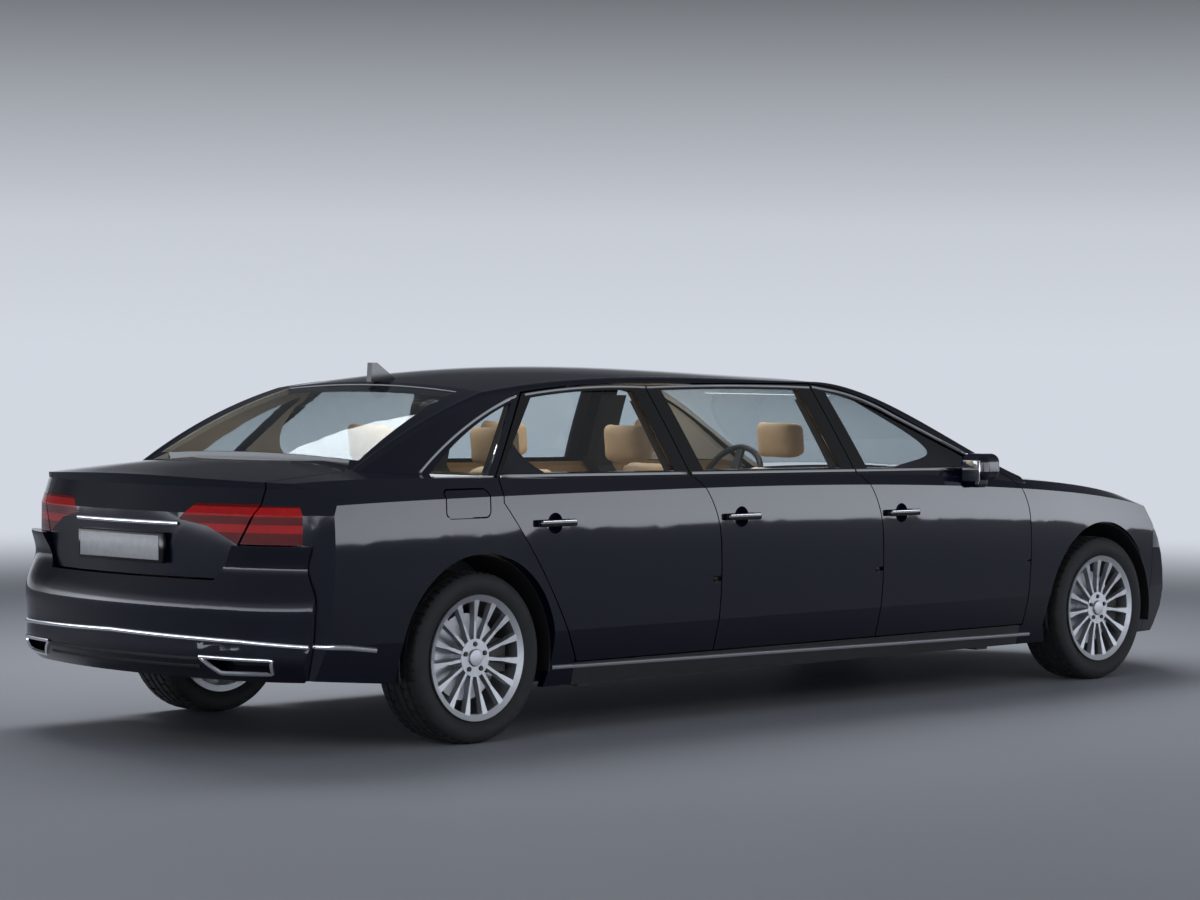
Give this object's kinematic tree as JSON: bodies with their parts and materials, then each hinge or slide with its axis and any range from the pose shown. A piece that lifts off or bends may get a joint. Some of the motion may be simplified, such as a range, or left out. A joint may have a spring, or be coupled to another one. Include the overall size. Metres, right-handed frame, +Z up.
{
  "type": "stretch_limousine",
  "caption": "Stretched saloon car in dark blue with chrome trim, tinted windows, tan leather seats in three rows and silver multi-spoke wheels",
  "frame": {"origin": "on the ground, in the middle of the overall length and width", "axes": "+X forwards, +Y to the car's left, +Z up"},
  "size_m": [6.3581, 2.15, 1.5499],
  "materials": {
    "body_paint": "gloss",
    "tinted_glass": "gloss",
    "bright_trim": "polished",
    "dark_trim": "matte",
    "alloy_rim": "satin",
    "tyre_rubber": "matte",
    "running_gear": "matte",
    "red_lens": "gloss",
    "clear_lens": "gloss",
    "tan_leather": "satin",
    "tan_trim": "matte"
  },
  "bodies": {
    "car_body": {"roof": "body_paint", "quarter_left": "body_paint", "quarter_right": "body_paint", "fender_left": "body_paint", "fender_right": "body_paint", "rear_bumper": "body_paint", "front_bumper": "body_paint", "antenna_fin": "body_paint", "quarter_glass_left": "tinted_glass", "door_frame_left": "dark_trim", "quarter_glass_right": "tinted_glass", "door_frame_right": "dark_trim", "windscreen": "tinted_glass", "rear_window": "tinted_glass", "tail_lamps": "red_lens", "headlamps": "clear_lens", "grille": "bright_trim", "front_seats": "tan_leather", "middle_seats": "tan_leather", "rear_seats": "tan_leather", "parcel_shelf": "tan_trim", "dashboard": "dark_trim", "steering_wheel": "dark_trim", "firewall": "dark_trim", "floor_pan": "dark_trim", "engine": "running_gear", "front_subframe": "running_gear", "rear_axle": "running_gear"},
    "front_door_assembly_left": {"front_door_left": "body_paint", "front_door_glass_left": "tinted_glass", "mirror_left": "body_paint"},
    "middle_door_assembly_left": {"middle_door_left": "body_paint", "middle_door_glass_left": "tinted_glass"},
    "rear_door_assembly_left": {"rear_door_left": "body_paint", "rear_door_glass_left": "tinted_glass"},
    "steering_knuckle_left": {"knuckle_left": "running_gear"},
    "front_wheel_left": {"front_rim_left": "alloy_rim", "front_tyre_left": "tyre_rubber"},
    "rear_wheel_left": {"rear_rim_left": "alloy_rim", "rear_tyre_left": "tyre_rubber"},
    "front_door_assembly_right": {"front_door_right": "body_paint", "front_door_glass_right": "tinted_glass", "mirror_right": "body_paint"},
    "middle_door_assembly_right": {"middle_door_right": "body_paint", "middle_door_glass_right": "tinted_glass"},
    "rear_door_assembly_right": {"rear_door_right": "body_paint", "rear_door_glass_right": "tinted_glass"},
    "steering_knuckle_right": {"knuckle_right": "running_gear"},
    "front_wheel_right": {"front_rim_right": "alloy_rim", "front_tyre_right": "tyre_rubber"},
    "rear_wheel_right": {"rear_rim_right": "alloy_rim", "rear_tyre_right": "tyre_rubber"},
    "boot_lid_assembly": {"boot_lid": "body_paint", "lid_lamps": "red_lens"},
    "bonnet_panel": {"bonnet": "body_paint"},
    "fuel_flap_panel": {"fuel_flap": "body_paint"}
  },
  "joints": [
    {"name": "front_door_left_hinge", "type": "hinge", "parent": "car_body", "child": "front_door_assembly_left", "pos_m": [1.56675, 0.96055, 0.685], "axis": [0, 0, -1], "range_deg": [0, 65]},
    {"name": "middle_door_left_hinge", "type": "hinge", "parent": "car_body", "child": "middle_door_assembly_left", "pos_m": [0.46175, 0.9659, 0.685], "axis": [0, 0, -1], "range_deg": [0, 65]},
    {"name": "rear_door_left_hinge", "type": "hinge", "parent": "car_body", "child": "rear_door_assembly_left", "pos_m": [-0.63125, 0.967, 0.685], "axis": [0, 0, -1], "range_deg": [0, 65]},
    {"name": "front_door_right_hinge", "type": "hinge", "parent": "car_body", "child": "front_door_assembly_right", "pos_m": [1.56675, -0.96055, 0.685], "axis": [0, 0, 1], "range_deg": [0, 65]},
    {"name": "middle_door_right_hinge", "type": "hinge", "parent": "car_body", "child": "middle_door_assembly_right", "pos_m": [0.46175, -0.9659, 0.685], "axis": [0, 0, 1], "range_deg": [0, 65]},
    {"name": "rear_door_right_hinge", "type": "hinge", "parent": "car_body", "child": "rear_door_assembly_right", "pos_m": [-0.63125, -0.967, 0.685], "axis": [0, 0, 1], "range_deg": [0, 65]},
    {"name": "boot_lid_hinge", "type": "hinge", "parent": "car_body", "child": "boot_lid_assembly", "pos_m": [-2.45, 0, 1.155], "axis": [0, 1, 0], "range_deg": [0, 80]},
    {"name": "bonnet_hinge", "type": "hinge", "parent": "car_body", "child": "bonnet_panel", "pos_m": [1.66, 0, 1.032], "axis": [0, -1, 0], "range_deg": [0, 55]},
    {"name": "fuel_flap_hinge", "type": "hinge", "parent": "car_body", "child": "fuel_flap_panel", "pos_m": [-2.01, -0.96, 0.985], "axis": [0, 0, 1], "range_deg": [0, 90]},
    {"name": "steering_left", "type": "hinge", "parent": "car_body", "child": "steering_knuckle_left", "pos_m": [2.195, 0.78, 0.352], "axis": [0, 0, 1], "range_deg": [-35, 35]},
    {"name": "front_wheel_left_spin", "type": "hinge", "parent": "steering_knuckle_left", "child": "front_wheel_left", "pos_m": [2.195, 0.82, 0.352], "axis": [0, 1, 0], "continuous": true},
    {"name": "rear_wheel_left_spin", "type": "hinge", "parent": "car_body", "child": "rear_wheel_left", "pos_m": [-2.025, 0.82, 0.352], "axis": [0, 1, 0], "continuous": true},
    {"name": "steering_right", "type": "hinge", "parent": "car_body", "child": "steering_knuckle_right", "pos_m": [2.195, -0.78, 0.352], "axis": [0, 0, 1], "range_deg": [-35, 35]},
    {"name": "front_wheel_right_spin", "type": "hinge", "parent": "steering_knuckle_right", "child": "front_wheel_right", "pos_m": [2.195, -0.82, 0.352], "axis": [0, 1, 0], "continuous": true},
    {"name": "rear_wheel_right_spin", "type": "hinge", "parent": "car_body", "child": "rear_wheel_right", "pos_m": [-2.025, -0.82, 0.352], "axis": [0, 1, 0], "continuous": true}
  ],
  "couplings": [
    {"joint": "steering_right", "follows": "steering_left", "ratio": 1}
  ]
}
